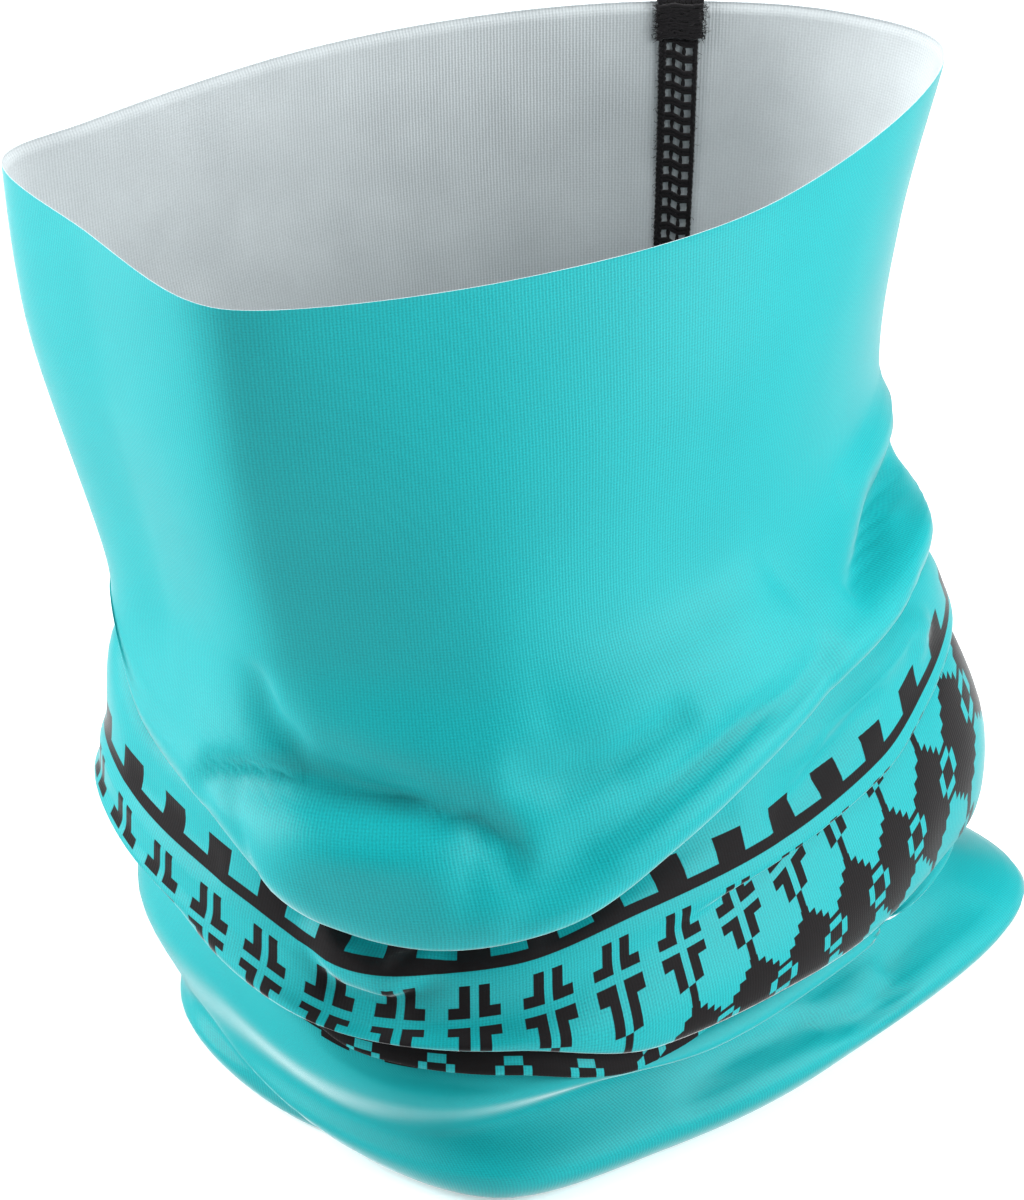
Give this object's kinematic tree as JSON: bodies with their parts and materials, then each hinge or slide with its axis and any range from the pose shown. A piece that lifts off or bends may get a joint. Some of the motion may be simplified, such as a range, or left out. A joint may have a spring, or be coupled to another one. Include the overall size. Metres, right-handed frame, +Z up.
{
  "type": "neck gaiter",
  "caption": "Stretch-knit neck gaiter standing open, a smooth collar above cloth bunched into rolls, with a geometric band and a flat seam inside the back.",
  "frame": {"origin": "under the middle of the whole gaiter, on the surface it stands on", "axes": "+Z up through the neck opening, -Y towards the wearer's front, +Y towards the sewn seam at the back, +X to the right seen from the front"},
  "size_m": [0.1868, 0.1436, 0.1766],
  "materials": {
    "printed_knit": "satin stretch knit, turquoise with a black band outside, pale grey inside",
    "black_thread": "matt bulked thread"
  },
  "bodies": {
    "gathers": {"gathered_cloth": "printed_knit", "bottom_bartack": "black_thread", "gathers_seam_needle_chain_left": "black_thread", "gathers_seam_needle_chain_centre": "black_thread", "gathers_seam_needle_chain_right": "black_thread", "gathers_seam_looper_thread": "black_thread", "gathers_seam_cover_thread": "black_thread"},
    "collar": {"collar_cloth": "printed_knit", "top_bartack": "black_thread", "collar_seam_needle_chain_left": "black_thread", "collar_seam_needle_chain_centre": "black_thread", "collar_seam_needle_chain_right": "black_thread", "collar_seam_looper_thread": "black_thread", "collar_seam_cover_thread": "black_thread"}
  },
  "joints": [
    {"name": "collar_pull", "type": "slide", "parent": "gathers", "child": "collar", "axis": [0, 0, 1], "range_m": [0, 0.04]}
  ]
}
